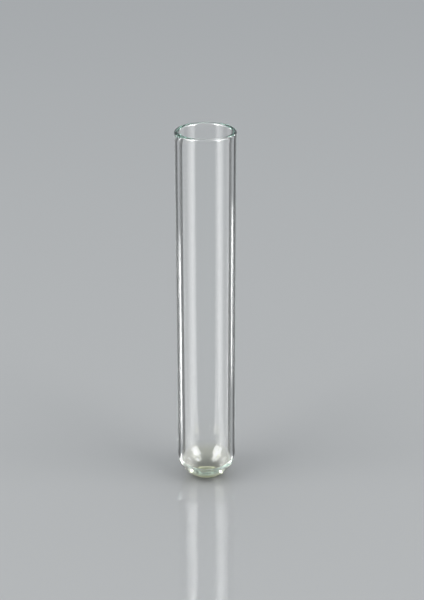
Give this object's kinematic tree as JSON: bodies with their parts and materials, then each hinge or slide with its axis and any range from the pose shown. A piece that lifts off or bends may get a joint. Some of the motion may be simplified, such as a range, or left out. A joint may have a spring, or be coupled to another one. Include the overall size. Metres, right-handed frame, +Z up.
{
  "type": "test tube",
  "caption": "Rimless round-bottom glass test tube: a straight cylindrical wall open at the top, with a fire-polished rim and a closed hemispherical bottom.",
  "frame": {"origin": "where the tube's axis meets the small flat under its round bottom", "axes": "+Z up the tube's axis, from the closed bottom to the open mouth; the tube is round, so +X and +Y are any two directions across it"},
  "size_m": [0.016, 0.016, 0.1],
  "materials": {
    "clear_glass": "clear, fire-polished, very faint green tint where the light runs along the wall"
  },
  "bodies": {
    "root": {"glass_tube": "clear_glass"}
  },
  "joints": []
}
